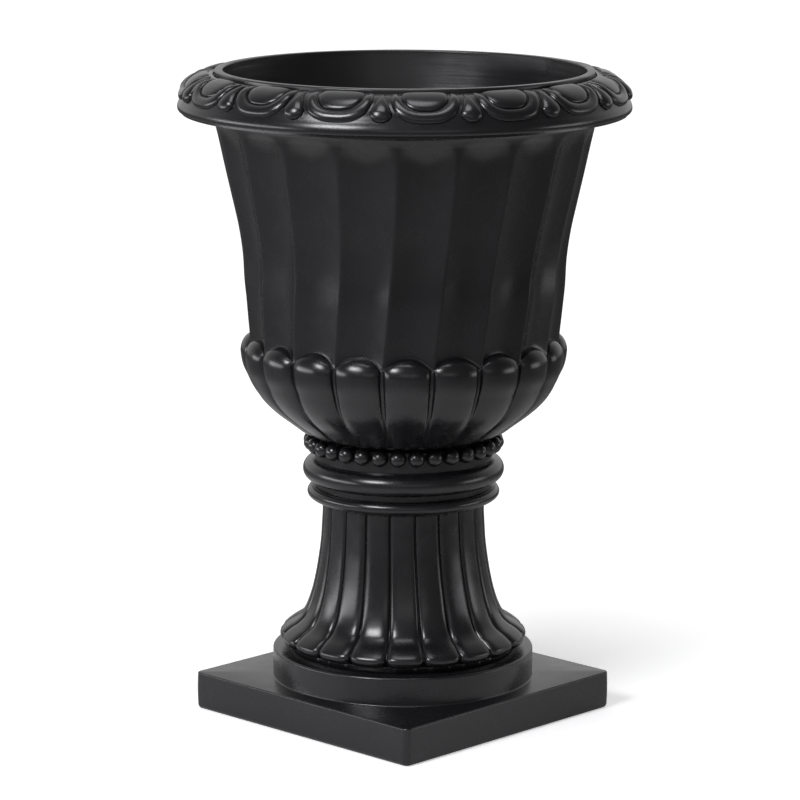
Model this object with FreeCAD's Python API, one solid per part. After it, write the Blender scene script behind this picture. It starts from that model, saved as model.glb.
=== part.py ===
import FreeCAD
import Part
import math
import os

# A garden urn planter in moulded plastic, in millimetres and degrees. The origin is on the floor
# under the centre of the square plinth, +Z is up, and the plinth's sides lie along X and Y.

# Square plinth, a hollow shell open below, with the round step moulded on top of it
plinth_side = 325.0
plinth_height = 41.5
plinth_wall = 7.5
plinth_corner_radius = 7.0
plinth_foot_round = 5.0
plinth_top_round = 1.5
step_inset = 19.1
step_height = 31.5
step_edge_round = 2.5
step_foot_fillet = 1.5
step_wall = 5.0
step_hole_radius = 60.0

# Ribbed stem: a foot ring, toes that swell over it, a flared shaft of ribs and a band on top
rib_count = 20
stem_height = 181.0
stem_wall = 4.0
stem_foot_thickness = 6.5
stem_foot_width = 26.0
toe_inset = 7.7
toe_overhang = 11.7
toe_rise = 8.5
toe_flare = 27.0
toe_shoulder_reach = 0.72
toe_shoulder_rise = 0.37
toe_waist_reach = 0.14
under_toe_reach = 0.22
shaft_radius = 88.6
shaft_flare = 15.9
shaft_flare_rise = 35.0
shaft_flare_reach = 0.46
shaft_end_reach = 0.10
shaft_end_drop = 40.0
rib_land = 1.2
rib_depth = 4.2
rib_crown = 1.6
toe_depth = 8.0
toe_crown = 4.0
band_bulge = 16.7
band_height = 15.5
band_neck = 7.4
band_edge = 12.9
band_middle = 0.61
band_foot_round = 1.5
stem_plate_thickness = 6.0
stem_plate_hole_radius = 24.0

# Neck collar: a thick round moulding under a row of beads
collar_height = 66.0
collar_bore_inset = 2.6
collar_neck = 7.4
collar_groove_height = 8.0
collar_top = 3.4
torus_height = 24.4
torus_bulge = 21.6
bead_count = 32
bead_radius = 9.2
bead_ring = 12.1
bead_seat = 8.9
bead_gap = 7.0
bead_phase = -4.5
bead_round = 2.0
register_height = 4.0
register_wall = 5.0

# Bowl: gadroon lobes below, concave flutes above, and a flange that flares out under the rim
flute_count = 20
bowl_height = 346.0
bowl_wall = 4.0
bowl_floor_thickness = 5.0
bowl_foot = 23.4
lobe_height = 85.0
lobe_radius = 178.0
lobe_depth = 8.0
lobe_foot_depth = 3.5
lobe_head_height = 19.0
lobe_head_taper = 0.8
lobe_head_gap = 0.15
lobe_head_inset = 0.25
lobe_seat = 1.2
lobe_swell_low = (0.42, 0.22)
lobe_swell_middle = (0.73, 0.45)
lobe_swell_high = (0.92, 0.74)
flute_foot_inset = 8.5
flute_waist_inset = 2.2
flute_top_reach = 26.6
flute_depth = 6.0
flute_land = 1.6
flute_twist = 5.5
flute_fade = 0.12
flute_waist_rise = 0.40
flute_foot_rise = 0.20
flute_foot_tuck = 2.6
flute_flare_low = (0.21, 0.58)
flute_flare_high = (0.63, 0.80)
flange_height = 16.0
flange_reach = 35.4
flange_thickness = 4.0
flange_cove = (0.28, 0.66)
drain_hole_radius = 6.0
drain_hole_circle = 30.0
drain_hole_count = 4

# Rim ring: a rolled rim that caps the flange, hollow below
rim_overhang = 4.5
rim_notch = 2.5
rim_skirt = 2.7
rim_wall = 4.0
rim_nose_height = 10.5
nose_tuck = 1.5
rim_crown_height = 29.5
rim_shoulder = 0.70
rim_inside_top = 0.88
rim_mouth_step = 1.2
rim_border = 2.0
rim_ledge_inset = 5.2
rim_ledge_drop = 3.0
rim_phase = 4.2

# Ornament on the rim's crown: swags with a cushion in each, and a drop between neighbours. Places
# on the crown are shares of its arc, from 0 over the nose to 1 at the top.
swag_count = 16
swag_half_width = 7.8
swag_low_share = 0.20
swag_top_share = 0.92
swag_roundness = 2.5
swag_band = 0.20
swag_lift = 3.8
cushion_half_width = 6.5
cushion_low_share = 0.33
cushion_lift = 2.6
drop_half_width = 2.9
drop_neck_half_width = 1.3
drop_lift = 4.6
drop_low_share = 0.10
drop_wide_share = 0.25
ornament_fade_share = 0.55
ornament_top_share = 0.94
ornament_steps_round = 28
ornament_steps_up = 20
nose_steps = 4

# Liner: a smooth inner pot that hangs by its lip from the rim ring's ledge
lip_height = 8.0
lip_gap = 1.2
lip_width = 9.0
lip_round = 1.6
liner_wall = 3.0
liner_gap = 0.8
liner_foot_gap = 81.0
liner_knee_drop = 145.0
liner_knee_inset = 8.5
liner_floor_inset = 26.0
liner_floor_thickness = 4.0
liner_knee_blend = 30.0
liner_corner_round = 12.0
plug_hole_radius = 9.0

# Drain plug
plug_gap = 0.4
plug_flange_radius = 16.0
plug_flange_thickness = 3.0
plug_length = 12.0
plug_knob_radius = 6.0
plug_knob_height = 12.0
plug_neck_radius = 3.5
plug_round = 2.0
plug_lead = 4.0

# Fasteners
neck_bolt_count = 4
neck_bolt_circle = 55.0
neck_bolt_radius = 4.0
neck_bolt_head_width = 13.0
neck_bolt_head_height = 5.3
neck_bolt_overrun = 5.0
neck_hole_gap = 0.5
thread_gap = 0.05
washer_radius = 9.0
washer_thickness = 1.6
nut_width = 13.0
nut_height = 6.5
base_screw_count = 6
base_screw_inset = 17.0
base_screw_radius = 2.4
base_screw_length = 18.0
base_screw_head_radius = 5.0
base_screw_head_height = 3.0
rim_screw_count = 8
rim_screw_radius = 2.0
rim_screw_length = 14.0
rim_screw_head_radius = 4.0
rim_screw_head_height = 2.4
screw_hole_gap = 0.3
base_boss_wall = 4.0
rim_boss_wall = 2.0
boss_floor = 3.0
past = 1.0

# Heights of the seats, from the floor up
step_base = plinth_height
stem_base = step_base + step_height
collar_base = stem_base + stem_height
bowl_base = collar_base + collar_height
lobe_top = bowl_base + lobe_height
flute_top = bowl_base + bowl_height - flange_height
flange_edge = flute_top + flange_height
rim_base = flange_edge + flange_thickness
crown_base = flange_edge + rim_nose_height
rim_top = crown_base + rim_crown_height
ledge = rim_top - rim_ledge_drop
lip_top = ledge + lip_height
liner_base = bowl_base + bowl_floor_thickness + liner_foot_gap

# Radii that follow from the plinth's side, the stem's shaft and the bowl's lobes
step_radius = plinth_side / 2 - step_inset
toe_radius = step_radius - toe_inset
stem_foot_radius = toe_radius - toe_overhang
base_screw_circle = stem_foot_radius - base_screw_inset
shaft_flare_radius = shaft_radius + shaft_flare
collar_bore_radius = shaft_radius - collar_bore_inset
collar_neck_radius = shaft_radius + collar_neck
bead_seat_radius = shaft_radius + bead_seat
collar_top_radius = shaft_radius + collar_top
bowl_foot_radius = shaft_radius + bowl_foot
flute_foot_radius = lobe_radius - flute_foot_inset
flute_waist_radius = lobe_radius - flute_waist_inset
flute_top_radius = lobe_radius + flute_top_reach
flange_radius = flute_top_radius + flange_reach
rim_screw_circle = (flute_top_radius + flange_radius) / 2
rim_radius = flange_radius + rim_overhang
rim_crown_radius = rim_radius - rim_notch
rim_inner_radius = flute_top_radius + rim_mouth_step
rim_ledge_radius = flute_top_radius - rim_ledge_inset
liner_knee_radius = lobe_radius - liner_knee_inset
liner_floor_radius = lobe_radius - liner_floor_inset
flute_pitch = 360.0 / flute_count
rib_pitch = 360.0 / rib_count
swag_pitch = 360.0 / swag_count


def polar(radius, angle, z):
    turn = math.radians(angle)
    return FreeCAD.Vector(radius * math.cos(turn), radius * math.sin(turn), z)


def profile_point(radius, z):
    return FreeCAD.Vector(radius, 0, z)


def line(start, end):
    return Part.LineSegment(profile_point(*start), profile_point(*end)).toShape()


def arc(start, middle, end):
    return Part.Arc(profile_point(*start), profile_point(*middle), profile_point(*end)).toShape()


def curve(points):
    smooth = Part.BSplineCurve()
    smooth.interpolate([profile_point(*point) for point in points])
    return smooth.toShape()


def turned(edges):
    face = Part.Face(Part.Wire(edges))
    return face.revolve(FreeCAD.Vector(0, 0, 0), FreeCAD.Vector(0, 0, 1), 360)


def turned_outline(points):
    closed = list(points) + [points[0]]
    return turned([line(start, end) for start, end in zip(closed[:-1], closed[1:])])


def cylinder(radius, z, height, x=0.0, y=0.0):
    return Part.makeCylinder(radius, height, FreeCAD.Vector(x, y, z))


def hexagon(width, z, height, x, y):
    corner = width / math.sqrt(3)
    points = [polar(corner, 60 * side, z) + FreeCAD.Vector(x, y, 0) for side in range(6)]
    face = Part.Face(Part.makePolygon(points + [points[0]]))
    return face.extrude(FreeCAD.Vector(0, 0, height))


def circle_places(count, radius, phase=0.0):
    places = []
    for index in range(count):
        spot = polar(radius, phase + 360.0 * index / count, 0)
        places.append((spot.x, spot.y))
    return places


def cylinders(places, radius, z, height):
    return [cylinder(radius, z, height, x, y) for x, y in places]


def spun(shape, angle):
    copy = shape.copy()
    copy.rotate(FreeCAD.Vector(0, 0, 0), FreeCAD.Vector(0, 0, 1), angle)
    return copy


def ring_wire(z, count, phase, half_angle, middle_radius, end_radius, join_radius):
    """One level of a fluted or ribbed wall: count arcs about the axis, each through its middle
    radius, joined by short arcs through the join radius where half_angle leaves room."""
    pitch = 360.0 / count
    edges = []
    for index in range(count):
        centre = phase + index * pitch
        start = polar(end_radius, centre - half_angle, z)
        middle = polar(middle_radius, centre, z)
        end = polar(end_radius, centre + half_angle, z)
        edges.append(Part.Arc(start, middle, end).toShape())
        if half_angle < pitch / 2:
            after = polar(end_radius, centre + pitch - half_angle, z)
            join = polar(join_radius, centre + pitch / 2, z)
            edges.append(Part.Arc(end, join, after).toShape())
    return Part.Wire(edges)


def smooth_levels(points, count):
    """Evenly spaced stations (radius, z) along the smooth curve through the outline's points."""
    path = Part.BSplineCurve()
    path.interpolate([profile_point(*point) for point in points])
    first, last = path.FirstParameter, path.LastParameter
    stations = []
    for index in range(count + 1):
        spot = path.value(first + (last - first) * index / count)
        stations.append((spot.x, spot.z))
    return stations


def blend(start, end, share):
    share = min(max(share, 0.0), 1.0)
    eased = share * share * (3 - 2 * share)
    return start + (end - start) * eased


def square_plinth():
    half = plinth_side / 2
    block = Part.makeBox(plinth_side, plinth_side, plinth_height, FreeCAD.Vector(-half, -half, 0))
    upright = [edge for edge in block.Edges if abs(edge.Vertexes[0].Z - edge.Vertexes[1].Z) > 1]
    block = block.makeFillet(plinth_corner_radius, upright)
    foot = [edge for edge in block.Edges if edge.BoundBox.ZMax < 0.01]
    block = block.makeFillet(plinth_foot_round, foot)
    top = [edge for edge in block.Edges if edge.BoundBox.ZMin > plinth_height - 0.01]
    block = block.makeFillet(plinth_top_round, top)
    fillet = step_foot_fillet
    edge = step_edge_round
    slant = 1 - math.sqrt(0.5)
    step = turned([
        line((0, step_base - 1), (step_radius + fillet, step_base - 1)),
        line((step_radius + fillet, step_base - 1), (step_radius + fillet, step_base)),
        arc((step_radius + fillet, step_base),
            (step_radius + fillet * slant, step_base + fillet * slant),
            (step_radius, step_base + fillet)),
        line((step_radius, step_base + fillet), (step_radius, stem_base - edge)),
        arc((step_radius, stem_base - edge),
            (step_radius - edge * slant, stem_base - edge * slant),
            (step_radius - edge, stem_base)),
        line((step_radius - edge, stem_base), (0, stem_base)),
        line((0, stem_base), (0, step_base - 1)),
    ])
    cavity_side = plinth_side - 2 * plinth_wall
    cavity = Part.makeBox(cavity_side, cavity_side, plinth_height - plinth_wall,
                          FreeCAD.Vector(-cavity_side / 2, -cavity_side / 2, 0))
    well = cylinder(step_radius - step_wall, 0, stem_base - step_wall)
    plate = stem_base - 2 * step_wall
    drain = cylinder(step_hole_radius, plate, 3 * step_wall)
    holes = cylinders(circle_places(base_screw_count, base_screw_circle),
                      base_screw_radius + screw_hole_gap, plate, 3 * step_wall)
    return block.fuse(step).cut([cavity, well, drain] + holes)


def stem_outline():
    """Crest of the ribs from the toes' swell to the top of the shaft."""
    foot = stem_base + stem_foot_thickness
    toe = foot + toe_rise
    top = collar_base - band_height
    overhang = toe_radius - shaft_flare_radius
    return [
        (toe_radius, toe),
        (shaft_flare_radius + toe_shoulder_reach * overhang, toe + toe_shoulder_rise * toe_flare),
        (shaft_flare_radius + toe_waist_reach * overhang, toe + toe_flare),
        (shaft_radius + shaft_flare_reach * shaft_flare, toe + toe_flare + shaft_flare_rise),
        (shaft_radius + shaft_end_reach * shaft_flare, top - shaft_end_drop),
        (shaft_radius, top),
    ]


def ribbed_stem():
    foot = stem_base + stem_foot_thickness
    toe = foot + toe_rise
    top = collar_base - band_height
    plate_base = collar_base - stem_plate_thickness
    half_angle = rib_pitch / 2 - rib_land

    def section(radius, z, depth, crown):
        return ring_wire(z, rib_count, 0.5 * rib_pitch, half_angle,
                         radius, radius - crown, radius - depth)

    under_toe = [
        (stem_foot_radius + under_toe_reach * toe_overhang, foot),
        (stem_foot_radius + toe_shoulder_reach * toe_overhang, foot + under_toe_reach * toe_rise),
        (toe_radius, toe),
    ]
    toes = Part.makeLoft([section(r, z, toe_depth, toe_crown) for r, z in under_toe], True)
    wires = []
    for radius, z in smooth_levels(stem_outline(), 14):
        share = (z - toe) / (2 * toe_flare)
        depth = blend(toe_depth, rib_depth, share)
        crown = blend(toe_crown, rib_crown, share)
        wires.append(section(radius, z, depth, crown))
    shaft = Part.makeLoft(wires, True)
    foot_ring = cylinder(stem_foot_radius, stem_base, stem_foot_thickness)
    band_neck_radius = shaft_radius + band_neck
    band_top_radius = shaft_radius + band_edge
    band = turned([
        line((0, top - past), (band_neck_radius - past, top - past)),
        line((band_neck_radius - past, top - past), (band_neck_radius, top + band_foot_round)),
        arc((band_neck_radius, top + band_foot_round),
            (shaft_radius + band_bulge, top + band_middle * band_height),
            (band_top_radius, collar_base)),
        line((band_top_radius, collar_base), (0, collar_base)),
        line((0, collar_base), (0, top - past)),
    ])
    inner = [(radius - rib_depth - stem_wall, z) for radius, z in smooth_levels(stem_outline(), 7)]
    inner[0] = (toe_radius - toe_depth - stem_wall, toe)
    inner_foot = (stem_foot_radius - stem_wall, foot)
    cavity = turned([
        curve(inner),
        line(inner[-1], (inner[-1][0], plate_base)),
        line((inner[-1][0], plate_base), (0, plate_base)),
        line((0, plate_base), (0, foot)),
        line((0, foot), inner_foot),
        line(inner_foot, inner[0]),
    ])
    stem = shaft.fuse([toes, foot_ring, band]).cut(cavity)
    screw_places = circle_places(base_screw_count, base_screw_circle)
    bore_depth = base_screw_length - step_wall + boss_floor / 2
    bosses = cylinders(screw_places, base_screw_radius + base_boss_wall, foot - past,
                       bore_depth - stem_foot_thickness + boss_floor / 2 + past)
    outer = collar_bore_radius - neck_hole_gap
    register = cylinder(outer, collar_base - past, register_height + past)
    well = cylinder(outer - register_wall, collar_base, register_height + past)
    foot_bore = cylinder(stem_foot_radius - stem_foot_width, stem_base - past,
                         stem_foot_thickness + 2 * past)
    plate_span = stem_plate_thickness + 2 * past
    drain = cylinder(stem_plate_hole_radius, plate_base - past, plate_span)
    bolt_holes = cylinders(circle_places(neck_bolt_count, neck_bolt_circle),
                           neck_bolt_radius + neck_hole_gap, plate_base - past, plate_span)
    bores = cylinders(screw_places, base_screw_radius + thread_gap, stem_base - past,
                      bore_depth + past)
    return stem.fuse(bosses + [register.cut(well)]).cut([foot_bore, drain] + bolt_holes + bores)


def neck_collar():
    torus_base = collar_base + collar_groove_height
    torus_top = torus_base + torus_height
    torus_middle = (torus_base + torus_top) / 2
    bead_base = torus_top + bead_gap
    bead_middle = bead_base + bead_radius
    bead_top = bead_base + 2 * bead_radius
    body = turned([
        line((collar_bore_radius, collar_base), (collar_neck_radius, collar_base)),
        line((collar_neck_radius, collar_base), (collar_neck_radius, torus_base + past)),
        arc((collar_neck_radius, torus_base + past), (shaft_radius + torus_bulge, torus_middle),
            (collar_neck_radius, torus_top - past)),
        line((collar_neck_radius, torus_top - past), (bead_seat_radius, bead_base)),
        line((bead_seat_radius, bead_base), (bead_seat_radius, bead_top - bead_round)),
        line((bead_seat_radius, bead_top - bead_round), (collar_top_radius, bead_top)),
        line((collar_top_radius, bead_top), (collar_top_radius, bowl_base)),
        line((collar_top_radius, bowl_base), (collar_bore_radius, bowl_base)),
        line((collar_bore_radius, bowl_base), (collar_bore_radius, collar_base)),
    ])
    beads = []
    for x, y in circle_places(bead_count, shaft_radius + bead_ring, bead_phase):
        beads.append(Part.makeSphere(bead_radius, FreeCAD.Vector(x, y, bead_middle)))
    return body.fuse(beads)


def lobe_outline():
    """Crest of the gadroon lobes, from the bowl's foot up to where the heads begin."""
    swell = lobe_radius - bowl_foot_radius
    return [
        (bowl_foot_radius, bowl_base),
        *((bowl_foot_radius + out * swell, bowl_base + up * lobe_height)
          for out, up in (lobe_swell_low, lobe_swell_middle, lobe_swell_high)),
        (lobe_radius, lobe_top),
    ]


def flute_outline():
    """Crest of the ridges between flutes, from behind the lobes' heads up to the flange."""
    rise = flute_top - lobe_top
    waist_to_top = flute_top_radius - flute_waist_radius
    return [
        (flute_foot_radius, lobe_top),
        (flute_waist_radius - flute_foot_tuck, lobe_top + flute_foot_rise * rise),
        (flute_waist_radius, lobe_top + flute_waist_rise * rise),
        *((flute_waist_radius + out * waist_to_top, lobe_top + up * rise)
          for out, up in (flute_flare_low, flute_flare_high)),
        (flute_top_radius, flute_top),
    ]


def flute_turn(z):
    return flute_twist * (z - lobe_top) / (flute_top - lobe_top)


def lobe_head():
    """One rounded head: level slices of a lobe that narrow and sink back to the fluted wall."""
    wall = flute_foot_radius - flute_depth
    inner = wall - bowl_wall / 2
    wires = []
    for share in (0.0, 0.3, 0.6, 0.82, 0.95):
        z = lobe_top + share * lobe_head_height
        width = math.sqrt(1 - share * share)
        half_angle = (0.5 * flute_pitch - lobe_head_gap) * width ** lobe_head_taper
        middle = wall + (lobe_radius - lobe_head_inset - wall) * width
        end = lobe_radius - lobe_depth - lobe_head_inset - lobe_seat * share
        start_point = polar(end, -half_angle, z)
        end_point = polar(end, half_angle, z)
        back_start = polar(inner, -half_angle, z)
        back_end = polar(inner, half_angle, z)
        wires.append(Part.Wire([
            Part.Arc(start_point, polar(middle, 0, z), end_point).toShape(),
            Part.LineSegment(end_point, back_end).toShape(),
            Part.LineSegment(back_end, back_start).toShape(),
            Part.LineSegment(back_start, start_point).toShape(),
        ]))
    return Part.makeLoft(wires, True)


def bowl_shell():
    lobes = []
    for radius, z in smooth_levels(lobe_outline(), 8):
        depth = blend(lobe_foot_depth, lobe_depth, (z - bowl_base) / lobe_height)
        lobes.append(ring_wire(z, flute_count, 0.5 * flute_pitch, 0.5 * flute_pitch,
                               radius, radius - depth, radius))
    bowl = Part.makeLoft(lobes, True)
    flutes = []
    for radius, z in smooth_levels(flute_outline(), 10):
        fade = (flute_top - z) / (flute_fade * (flute_top - lobe_top))
        depth = blend(0.0, flute_depth, fade)
        phase = 0.5 * flute_pitch + flute_turn(z)
        flutes.append(ring_wire(z, flute_count, phase, 0.5 * flute_pitch - flute_land,
                                radius - depth, radius, radius))
    wall = Part.makeLoft(flutes, True)
    reach = flange_radius - flute_top_radius
    flange = turned([
        line((0, flute_top), (flute_top_radius, flute_top)),
        arc((flute_top_radius, flute_top),
            (flute_top_radius + flange_cove[0] * reach, flute_top + flange_cove[1] * flange_height),
            (flange_radius, flange_edge)),
        line((flange_radius, flange_edge), (flange_radius, rim_base)),
        line((flange_radius, rim_base), (0, rim_base)),
        line((0, rim_base), (0, flute_top)),
    ])
    head = lobe_head()
    heads = [spun(head, (index + 0.5) * flute_pitch) for index in range(flute_count)]
    bowl = bowl.fuse([wall, flange] + heads)
    floor = bowl_base + bowl_floor_thickness
    lower = [(radius - lobe_depth - bowl_wall, z) for radius, z in smooth_levels(lobe_outline(), 5)]
    lower = [(radius, z) for radius, z in lower if z > floor + bowl_wall]
    upper = [(radius - flute_depth - bowl_wall, z) for radius, z in flute_outline()]
    foot = (lower[0][0] - bowl_wall, floor)
    mouth = upper[-1][0]
    cavity = turned([
        line((0, floor), foot),
        curve([foot] + lower[:-1] + upper),
        line((mouth, flute_top), (mouth, rim_base + 1)),
        line((mouth, rim_base + 1), (0, rim_base + 1)),
        line((0, rim_base + 1), (0, floor)),
    ])
    outer = collar_bore_radius - neck_hole_gap
    register = cylinder(outer, bowl_base - register_height, register_height + past)
    well = cylinder(outer - register_wall, bowl_base - register_height - past,
                    register_height + past)
    bolt_holes = cylinders(circle_places(neck_bolt_count, neck_bolt_circle),
                           neck_bolt_radius + neck_hole_gap, bowl_base - register_height,
                           register_height + bowl_floor_thickness + past)
    drains = cylinders(circle_places(drain_hole_count, drain_hole_circle, 45.0),
                       drain_hole_radius, bowl_base - register_height,
                       register_height + bowl_floor_thickness + past)
    screw_places = circle_places(rim_screw_count, rim_screw_circle)
    screw_holes = cylinders(screw_places, rim_screw_radius + screw_hole_gap,
                            flute_top, rim_base - flute_top + past)
    pockets = cylinders(screw_places, rim_screw_head_radius + screw_hole_gap,
                        flute_top, rim_base - flange_thickness - flute_top)
    bowl = bowl.cut([cavity] + screw_holes + pockets)
    return bowl.fuse(register.cut(well)).cut(bolt_holes + drains)


def crown_arc():
    """The rim's crown in the XZ plane, close to a quarter ellipse from the nose to the top."""
    reach = rim_crown_radius - rim_inner_radius
    shoulder = rim_inner_radius + reach * math.sqrt(1 - rim_shoulder ** 2)
    return arc((rim_crown_radius, crown_base),
               (shoulder, crown_base + rim_shoulder * rim_crown_height),
               (rim_inner_radius + rim_border, rim_top))


def on_crown(share, lift, angle=0.0):
    """A point at a share of the crown's arc, lifted off it, at an angle about the axis."""
    crown = crown_arc()
    first, last = crown.ParameterRange
    centre = crown.Curve.Center
    out = crown.valueAt(first + (last - first) * share) - centre
    spot = centre + out * ((out.Length + lift) / out.Length)
    return polar(spot.x, angle, spot.z)


def swag_reach(angle, share, half_width, low_share):
    """How far out a place lies in a swag's round outline: 1 on the outline, less inside it."""
    across = abs(angle) / half_width
    down = max(0.0, (swag_top_share - share) / (swag_top_share - low_share))
    return (across ** swag_roundness + down ** swag_roundness) ** (1 / swag_roundness)


def ornament_height(angle, share):
    """Relief over the plain crown, at an angle from the middle of the nearest drop."""
    from_swag = swag_pitch / 2 - abs(angle)
    band = (swag_reach(from_swag, share, swag_half_width, swag_low_share) - 1) / swag_band
    band_height = swag_lift * max(0.0, 1 - band * band) ** 1.2
    inside = swag_reach(from_swag, share, cushion_half_width, cushion_low_share)
    cushion_height = cushion_lift * max(0.0, 1 - inside ** 3)
    rise = (share - drop_wide_share) / (ornament_top_share - drop_wide_share)
    sink = max(0.0, (drop_wide_share - share) / (drop_wide_share - drop_low_share))
    width = blend(drop_half_width, drop_neck_half_width, rise)
    aside = angle / width
    drop_height = drop_lift * width / drop_half_width * max(0.0, 1 - aside ** 2 - sink ** 2)
    fade = blend(1.0, 0.0, (share - ornament_fade_share) / (ornament_top_share - ornament_fade_share))
    return fade * max(band_height, cushion_height, drop_height)


def ornament_sheet():
    """The rim's outer skin from mid swag to mid swag round a drop: the plain nose, then the relief."""
    columns = range(ornament_steps_round + 1)
    angles = [swag_pitch * (column / ornament_steps_round - 0.5) for column in columns]
    nose = arc((rim_radius - nose_tuck, rim_base - rim_skirt),
               (rim_radius, 0.5 * (flange_edge + crown_base)),
               (rim_crown_radius, crown_base))
    first, last = nose.ParameterRange
    grid = []
    for step in range(nose_steps):
        spot = nose.valueAt(first + (last - first) * step / nose_steps)
        grid.append([polar(spot.x, angle, spot.z) for angle in angles])
    for step in range(ornament_steps_up + 1):
        share = step / ornament_steps_up
        grid.append([on_crown(share, ornament_height(angle, share), angle) for angle in angles])
    sheet = Part.BSplineSurface()
    sheet.interpolate(grid)
    return sheet.toShape()


def flat_border(edge, radius):
    """The level face between one edge of the relief sheet and an arc at another radius."""
    z = edge.Vertexes[0].Z
    ends = [polar(radius, side * swag_pitch / 2, z) for side in (-1, 1)]
    edges = [edge, Part.Arc(ends[0], polar(radius, 0, z), ends[1]).toShape()]
    for vertex in edge.Vertexes:
        near = min(ends, key=lambda end: (end - vertex.Point).Length)
        edges.append(Part.LineSegment(vertex.Point, near).toShape())
    return Part.Face(Part.Wire(Part.sortEdges(edges)[0]))


def rim_ring():
    """Equal sectors, one to a drop: a relief sheet outside and turned faces for all the rest."""
    skirt_inner = flange_radius + screw_hole_gap
    skirt_base = rim_base - rim_skirt
    hub = rim_ledge_radius + rim_wall
    inside = [on_crown(share, -rim_wall) for share in (0, rim_inside_top / 2, rim_inside_top)]
    inner_crown = [(spot.x, spot.z) for spot in inside]
    open_outline = Part.Wire([
        line((skirt_inner, skirt_base), (skirt_inner, rim_base)),
        line((skirt_inner, rim_base), (inner_crown[0][0], rim_base)),
        line((inner_crown[0][0], rim_base), inner_crown[0]),
        arc(*inner_crown),
        line(inner_crown[2], (hub, ledge - rim_wall)),
        line((hub, ledge - rim_wall), (hub, rim_base)),
        line((hub, rim_base), (rim_ledge_radius, rim_base)),
        line((rim_ledge_radius, rim_base), (rim_ledge_radius, ledge)),
        line((rim_ledge_radius, ledge), (rim_inner_radius, ledge)),
        line((rim_inner_radius, ledge), (rim_inner_radius, rim_top)),
    ])
    rest = open_outline.revolve(FreeCAD.Vector(0, 0, 0), FreeCAD.Vector(0, 0, 1), swag_pitch)
    rest = spun(rest, -swag_pitch / 2)
    sheet = ornament_sheet()
    edges = sorted(sheet.Edges, key=lambda edge: edge.CenterOfMass.z)
    borders = [flat_border(edges[0], skirt_inner), flat_border(edges[-1], rim_inner_radius)]
    faces = []
    for index in range(swag_count):
        for shape in [sheet] + borders + rest.Faces:
            faces.extend(spun(shape, rim_phase + (index + 0.5) * swag_pitch).Faces)
    skin = Part.Compound(faces)
    skin.sewShape()
    ring = Part.Solid(skin.Shells[0])
    if ring.Volume < 0:
        ring.reverse()
    crown = crown_arc().Curve
    across = rim_screw_circle - crown.Center.x
    boss_top = crown.Center.z + math.sqrt(crown.Radius ** 2 - across ** 2) - 0.7 * rim_wall
    screw_places = circle_places(rim_screw_count, rim_screw_circle)
    bosses = cylinders(screw_places, rim_screw_radius + rim_boss_wall, rim_base, boss_top - rim_base)
    bores = cylinders(screw_places, rim_screw_radius + thread_gap, rim_base - past,
                      rim_screw_length - flange_thickness + 2 * past)
    return ring.fuse(bosses).cut(bores)


def liner_radius(z):
    """Outer radius of the liner's wall: two cones that meet at the knee."""
    knee = ledge - liner_knee_drop
    top = rim_ledge_radius - liner_gap
    if z > knee:
        return liner_knee_radius + (top - liner_knee_radius) * (z - knee) / (ledge - knee)
    share = (z - liner_base) / (knee - liner_base)
    return liner_floor_radius + (liner_knee_radius - liner_floor_radius) * share


def liner_pot():
    knee = ledge - liner_knee_drop
    floor = liner_base
    soft = liner_knee_blend
    bend = liner_corner_round
    top = rim_ledge_radius - liner_gap
    lip_outer = rim_inner_radius - lip_gap
    lip_inner = lip_outer - lip_width
    slant = math.sqrt(0.5)
    turn = lip_round * (1 - slant)
    wall = liner_wall
    below = (liner_radius(knee - soft), knee - soft)
    above = (liner_radius(knee + soft), knee + soft)
    bend_middle = (liner_knee_radius + 0.25 * (above[0] + below[0] - 2 * liner_knee_radius), knee)
    corner_out = (liner_radius(floor + bend), floor + bend)
    corner_middle = (liner_floor_radius - bend * (1 - slant), floor + bend * (1 - slant))
    corner_in = (liner_floor_radius - bend, floor)
    inside = liner_floor_thickness
    return turned([
        line((plug_hole_radius, floor), corner_in),
        arc(corner_in, corner_middle, corner_out),
        line(corner_out, below),
        arc(below, bend_middle, above),
        line(above, (top, ledge)),
        line((top, ledge), (lip_outer, ledge)),
        line((lip_outer, ledge), (lip_outer, lip_top - lip_round)),
        arc((lip_outer, lip_top - lip_round), (lip_outer - turn, lip_top - turn),
            (lip_outer - lip_round, lip_top)),
        line((lip_outer - lip_round, lip_top), (lip_inner + lip_round, lip_top)),
        arc((lip_inner + lip_round, lip_top), (lip_inner + turn, lip_top - turn),
            (lip_inner, lip_top - lip_round)),
        line((lip_inner, lip_top - lip_round), (above[0] - wall, above[1])),
        arc((above[0] - wall, above[1]), (bend_middle[0] - wall, knee), (below[0] - wall, below[1])),
        line((below[0] - wall, below[1]), (corner_out[0] - wall, corner_out[1])),
        arc((corner_out[0] - wall, corner_out[1]),
            (corner_middle[0] - wall * slant, corner_middle[1] + inside * slant),
            (corner_in[0], floor + inside)),
        line((corner_in[0], floor + inside), (plug_hole_radius, floor + inside)),
        line((plug_hole_radius, floor + inside), (plug_hole_radius, floor)),
    ])


def drain_plug():
    floor_top = liner_base + liner_floor_thickness
    shank = plug_hole_radius - plug_gap
    flange_top = floor_top + plug_flange_thickness
    knob_base = flange_top + plug_knob_height / 3
    knob_top = flange_top + plug_knob_height
    return turned_outline([
        (0, floor_top - plug_length),
        (shank - plug_round, floor_top - plug_length),
        (shank, floor_top - plug_length + plug_lead),
        (shank, floor_top),
        (plug_flange_radius, floor_top),
        (plug_flange_radius, flange_top - plug_round / 2),
        (plug_flange_radius - plug_round / 2, flange_top),
        (plug_neck_radius, flange_top),
        (plug_neck_radius, knob_base),
        (plug_knob_radius, knob_base + plug_round),
        (plug_knob_radius, knob_top - plug_round),
        (plug_knob_radius - plug_round, knob_top),
        (0, knob_top),
    ])


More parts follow.
